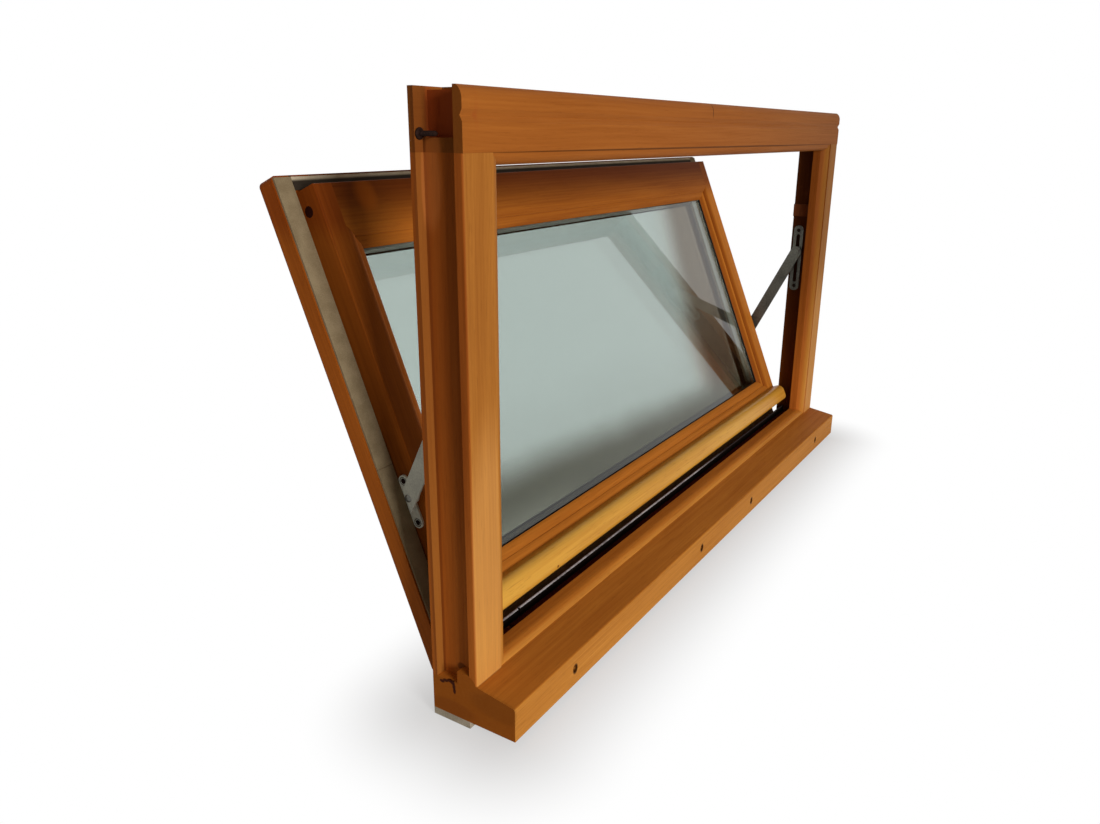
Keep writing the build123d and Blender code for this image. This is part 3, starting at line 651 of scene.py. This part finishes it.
# After each tint come the painted reflections: foot band, right band and lower left.
finish_node("outer_pane", pane_glass("outer_glass", (0.49, 0.54, 0.515), (0.080, 0.082, 0.050),
                                     (0.150, 0.100, 0.055), (0.225, 0.235, 0.190)))
finish_node("inner_pane", pane_glass("inner_glass", (0.78, 0.86, 0.83), (0.70, 0.74, 0.70),
                                     (0.66, 0.65, 0.60), (0.76, 0.80, 0.76)))
# Painted shade darkens the spacer's bottom and top lengths.
spacer_shade = [((0.0, 0.01, height), (1.6, 0.1, 0.016), tint, 0.92)
               for height, tint in ((0.118, colour(112, 106, 94)), (0.510, colour(150, 146, 136)))]
finish_node("pane_spacer", mottled("spacer_bar", colour(236, 229, 214), colour(216, 209, 194),
                                   1200.0, 0.5, 0.1, 0.2, marks=spacer_shade, mark_turn=RAIL))
gasket_material = mottled("black_gasket", colour(34, 34, 32), colour(18, 18, 18), 1500.0, 0.6, 0.2)
for name in ("outer_gasket", "inner_gasket"):
    finish_node(name, gasket_material)
for name, turn in (("bead_top", RAIL), ("bead_bottom", RAIL), ("bead_left", STILE),
                   ("bead_right", STILE)):
    finish_node(name, stained(name + "_timber", turn, (0.3, 0.03, 0.21), sash_light, sash_dark,
                              sash_pore))

# Weather bar: a rounded hardwood bar that throws the rain off the bottom rail, in a glossy golden
# varnish. Two pins hold it, and their heads show as small dark dots.

pins = [((x, 0.0085, z), (0.0026, 0.006, 0.0024), colour(84, 26, 10), 0.9)
        for x, z in ((-0.3475, 0.087), (0.3005, 0.0855))]
finish_node("weather_bar", stained("golden_varnish", RAIL, (0.2, 0.05, -0.05),
                                   colour(218, 162, 62), colour(192, 128, 42),
                                   colour(130, 70, 18), ring_strength=0.08, pore_strength=0.3,
                                   gloss=0.30, coat=0.25, marks=pins))

# Seals: flat beige foam tape, stuck on the front of the sash's flange all round. The top length
# takes a paler copy of the foam as painted light, and painted shadow darkens its lower edge.

foam_material = mottled("beige_foam", colour(142, 125, 96), colour(124, 107, 80), 1100.0, 0.85,
                        0.3)
for name in ("right_seal", "left_lower_seal", "left_upper_seal", "bottom_seal"):
    finish_node(name, foam_material)
lip_shadow = [((0.0, 0.019, 0.5745), (1.6, 0.1, 0.0075), shadow_brown, 0.95)]
finish_node("top_seal", mottled("lit_foam", colour(206, 190, 162), colour(186, 170, 142), 1100.0,
                                0.85, 0.3, marks=lip_shadow, mark_turn=RAIL))

# Stays: pressed, zinc-plated steel. The left side's arm, slider and plate take a paler copy of it
# as painted light. A slotted track is screwed to each jamb, and a flat arm joins its slider to a
# plate on the sash.

stay_material = mottled("zinc_stay", colour(114, 112, 104), colour(86, 85, 79), 400.0, 0.42, 0.1,
                        0.8)
left_stay_painted_light = mottled("zinc_stay_painted_light", colour(226, 230, 216), colour(200, 204, 192), 400.0,
                      0.5, 0.1)
for side, arm_finish in (("left", left_stay_painted_light), ("right", stay_material)):
    for part in ("track", "arm", "slider", "plate"):
        finish_node(f"{side}_stay_{part}", stay_material if part == "track" else arm_finish)

# Stay screws: dark cross-head steel screws, two sunk in each track and two in each plate. The
# steel is pressed up to a raised rim around each of them.


def cross_screw(name):
    """A sunk screw head with a cross recess, cut by two flat blocks."""
    recess_floor, block_height, slot_width, slot_length = -0.0012, 0.002, 0.6, 3.2
    made = turned(name, [(0, 0.1), (3.0, 0.1), (3.7, -0.3), (3.7, -2.2), (0, -2.2)])
    for across, along in ((slot_width, slot_length), (slot_length, slot_width)):
        half = (across / 2000, along / 2000)
        corners = [(half[0] * a, half[1] * b, recess_floor)
                   for a, b in ((-1, -1), (1, -1), (1, 1), (-1, 1))]
        cutter = outline_object("recess_cutter", corners, True)
        edit_all(cutter)
        bpy.ops.mesh.edge_face_add()
        bpy.ops.mesh.extrude_region_move(TRANSFORM_OT_translate={"value": (0, 0, block_height)})
        bpy.ops.mesh.select_all(action="SELECT")
        bpy.ops.mesh.normals_make_consistent(inside=False)
        bpy.ops.object.mode_set(mode="OBJECT")
        bpy.ops.object.select_all(action="DESELECT")
        made.select_set(True)
        bpy.context.view_layer.objects.active = made
        cut = made.modifiers.new("recess", "BOOLEAN")
        cut.operation = "DIFFERENCE"
        cut.object = cutter
        bpy.ops.object.modifier_apply(modifier=cut.name)
        bpy.data.objects.remove(cutter)
    return made


rim_profile = [(3.8, 0), (4.8, 0), (4.8, 0.2), (4.5, 0.6), (4.1, 0.6), (3.8, 0.2)]
for part, face, outward, places in (
        ("track", 0.5095, -1, ((0.0155, 0.302), (0.0155, 0.406))),
        ("plate", 0.4975, 1, ((0.08736, 0.18207), (0.10535, 0.2255)))):
    matrices = [pointing((sign * outward, 0, 0), (sign * face, y, z))
                for sign in (-1, 1) for y, z in places]
    set_piece(copies(part + "_screws", cross_screw(part + "_screw"), matrices), dark_steel)
    set_piece(copies(part + "_screw_rims", turned(part + "_rim", rim_profile, True), matrices),
              stay_material)

# Arm rivets: domed steel heads on the arms' outer faces. Each holds its arm to the plate on the
# sash, and the arm turns on it.

dome = turned("arm_rivet", [(0, 1.3), (1.6, 1.2), (3.0, 0.85), (4.2, 0.25), (4.4, 0), (0, 0)])
arm_face, pivot_y, pivot_z = 0.50475, 0.09291, 0.21117
pivots = [pointing((sign, 0, 0), (sign * arm_face, pivot_y, pivot_z)) for sign in (-1, 1)]
set_piece(copies("arm_rivets", dome, pivots), stay_material)

# Hinges: two cranked leaves of zinc-plated steel at each end, one on the sill's room face and one
# under the sash's flange, on a common pin.

for side in ("left", "right"):
    for part in ("frame", "sash"):
        finish_node(f"{side}_hinge_{part}_leaf", stay_material)

# Handle: a cast lever on an oval plate, in satin bronze, screwed to the room face of the top
# rail. A turned collar lies around the lever's neck, on the plate.

handle_material = mottled("handle_bronze", colour(112, 104, 96), colour(90, 84, 78), 700.0, 0.4,
                          0.1, 0.7)
for name in ("handle_plate", "handle_lever"):
    finish_node(name, handle_material)
handle_axis = (0, math.cos(sash_tilt), -math.sin(sash_tilt))
collar = turned("handle_collar", [(7.6, 0), (10.6, 0), (10.6, 1.2), (9.6, 2.4), (7.6, 2.4)], True)
collar.data.transform(pointing(handle_axis, (0, 0.25729, 0.4878)))
set_piece(collar, handle_material)
